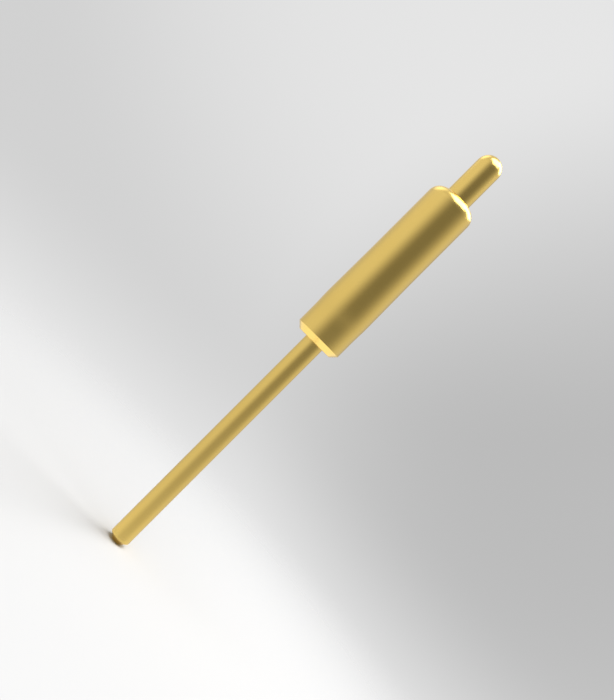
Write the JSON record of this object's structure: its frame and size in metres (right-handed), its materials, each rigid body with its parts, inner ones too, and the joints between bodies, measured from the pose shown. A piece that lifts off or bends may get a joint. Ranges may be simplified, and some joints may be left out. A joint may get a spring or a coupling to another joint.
{
  "type": "pogo pin",
  "caption": "Spring-loaded contact pin with a round-tipped plunger in a turned barrel, a press-fit bulge and a long solder tail.",
  "frame": {"origin": "centre of the barrel's back face, which seats on the board", "axes": "+Z along the pin's axis toward the plunger's tip; the solder tail runs down along -Z; X and Y are free, because the pin is round"},
  "size_m": [0.002, 0.002, 0.0193],
  "materials": {
    "barrel_plating": "gold plated over turned brass, satin",
    "spring_wire": "drawn stainless spring wire",
    "plunger_plating": "gold plated, smooth"
  },
  "bodies": {
    "barrel": {"barrel": "barrel_plating", "spring": "spring_wire"},
    "plunger": {"plunger": "plunger_plating"}
  },
  "joints": [
    {"name": "plunger_slide", "type": "slide", "parent": "barrel", "child": "plunger", "axis": [0, 0, -1], "range_m": [0, 0.0014], "stiffness_N_per_m": 280, "deforming": ["spring"]}
  ]
}
